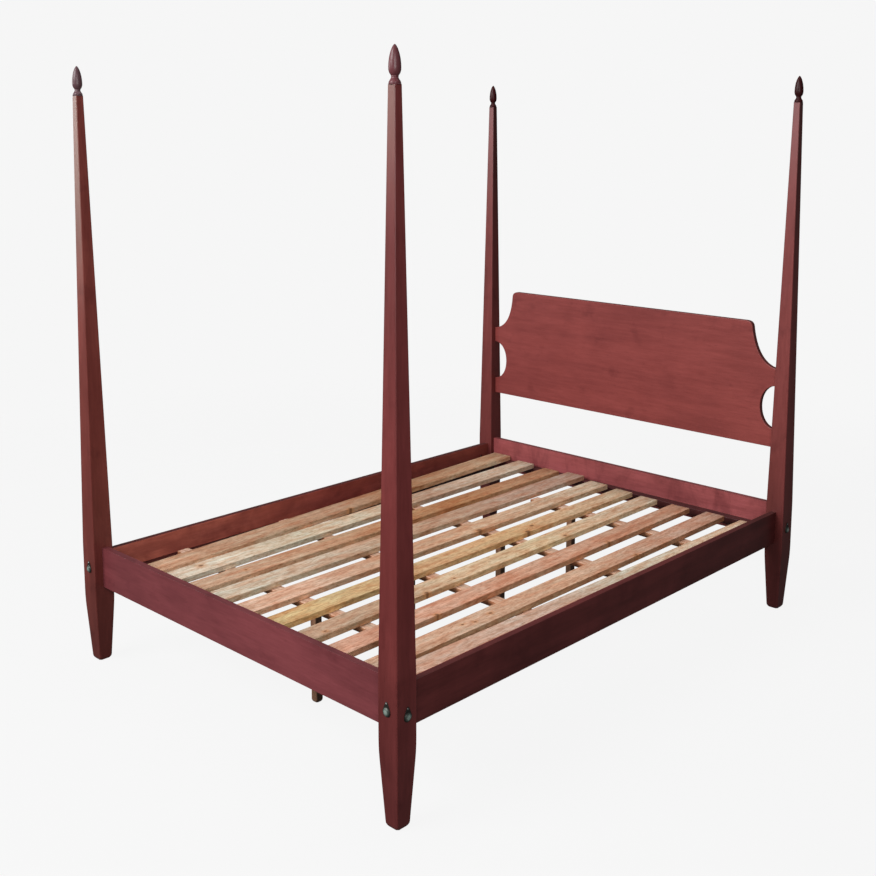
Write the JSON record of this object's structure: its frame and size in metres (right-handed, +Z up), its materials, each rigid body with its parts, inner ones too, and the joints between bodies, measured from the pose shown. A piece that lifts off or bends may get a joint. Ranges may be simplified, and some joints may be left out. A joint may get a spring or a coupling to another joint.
{
  "type": "pencil post bed frame",
  "caption": "Four poster bed frame with tapered square posts, turned finials, a shaped headboard, bolted rails with swinging bolt covers, and a loose slatted platform.",
  "frame": {"origin": "on the floor, midway between the four posts", "axes": "+X across the bed to the right as seen from its foot, +Y from the foot to the headboard, +Z up"},
  "size_m": [1.5284, 2.0744, 1.9743],
  "materials": {
    "stained_maple": "red stained hardwood, satin varnish",
    "pine": "bare sawn pine",
    "steel": "plain steel",
    "aged_brass": "aged to a dull green-brown, polished on the dome"
  },
  "bodies": {
    "frame": {"post_foot_left": "stained_maple", "finial_foot_left": "stained_maple", "post_foot_right": "stained_maple", "finial_foot_right": "stained_maple", "post_head_left": "stained_maple", "finial_head_left": "stained_maple", "post_head_right": "stained_maple", "finial_head_right": "stained_maple", "headboard": "stained_maple", "head_rail": "stained_maple", "head_ledger": "stained_maple", "head_bolt_a": "steel", "head_nut_a": "steel", "head_bolt_b": "steel", "head_nut_b": "steel", "foot_rail": "stained_maple", "foot_ledger": "stained_maple", "foot_bolt_a": "steel", "foot_nut_a": "steel", "foot_bolt_b": "steel", "foot_nut_b": "steel", "left_rail": "stained_maple", "left_ledger": "stained_maple", "left_bolt_a": "steel", "left_nut_a": "steel", "left_bolt_b": "steel", "left_nut_b": "steel", "right_rail": "stained_maple", "right_ledger": "stained_maple", "right_bolt_a": "steel", "right_nut_a": "steel", "right_bolt_b": "steel", "right_nut_b": "steel", "slat_1": "pine", "slat_2": "pine", "slat_3": "pine", "slat_4": "pine", "slat_5": "pine", "slat_6": "pine", "slat_7": "pine", "slat_8": "pine", "slat_9": "pine", "slat_10": "pine", "cross_slat_1": "pine", "support_leg_1": "pine", "cross_slat_2": "pine", "support_leg_2": "pine", "cross_slat_3": "pine", "support_leg_3": "pine", "cross_slat_4": "pine", "support_leg_4": "pine"},
    "head_cover_a": {"head_cover_a": "aged_brass"},
    "head_cover_b": {"head_cover_b": "aged_brass"},
    "foot_cover_a": {"foot_cover_a": "aged_brass"},
    "foot_cover_b": {"foot_cover_b": "aged_brass"},
    "left_cover_a": {"left_cover_a": "aged_brass"},
    "left_cover_b": {"left_cover_b": "aged_brass"},
    "right_cover_a": {"right_cover_a": "aged_brass"},
    "right_cover_b": {"right_cover_b": "aged_brass"}
  },
  "joints": [
    {"name": "head_cover_a_swing", "type": "hinge", "parent": "frame", "child": "head_cover_a", "pos_m": [-0.75755, 0.993, 0.333], "axis": [-1, 0, 0], "continuous": true},
    {"name": "head_cover_b_swing", "type": "hinge", "parent": "frame", "child": "head_cover_b", "pos_m": [0.75755, 0.993, 0.333], "axis": [1, 0, 0], "continuous": true},
    {"name": "foot_cover_a_swing", "type": "hinge", "parent": "frame", "child": "foot_cover_a", "pos_m": [0.75755, -0.993, 0.333], "axis": [1, 0, 0], "continuous": true},
    {"name": "foot_cover_b_swing", "type": "hinge", "parent": "frame", "child": "foot_cover_b", "pos_m": [-0.75755, -0.993, 0.333], "axis": [-1, 0, 0], "continuous": true},
    {"name": "left_cover_a_swing", "type": "hinge", "parent": "frame", "child": "left_cover_a", "pos_m": [-0.72, -1.03055, 0.347], "axis": [0, -1, 0], "continuous": true},
    {"name": "left_cover_b_swing", "type": "hinge", "parent": "frame", "child": "left_cover_b", "pos_m": [-0.72, 1.03055, 0.347], "axis": [0, 1, 0], "continuous": true},
    {"name": "right_cover_a_swing", "type": "hinge", "parent": "frame", "child": "right_cover_a", "pos_m": [0.72, 1.03055, 0.347], "axis": [0, 1, 0], "continuous": true},
    {"name": "right_cover_b_swing", "type": "hinge", "parent": "frame", "child": "right_cover_b", "pos_m": [0.72, -1.03055, 0.347], "axis": [0, -1, 0], "continuous": true}
  ]
}
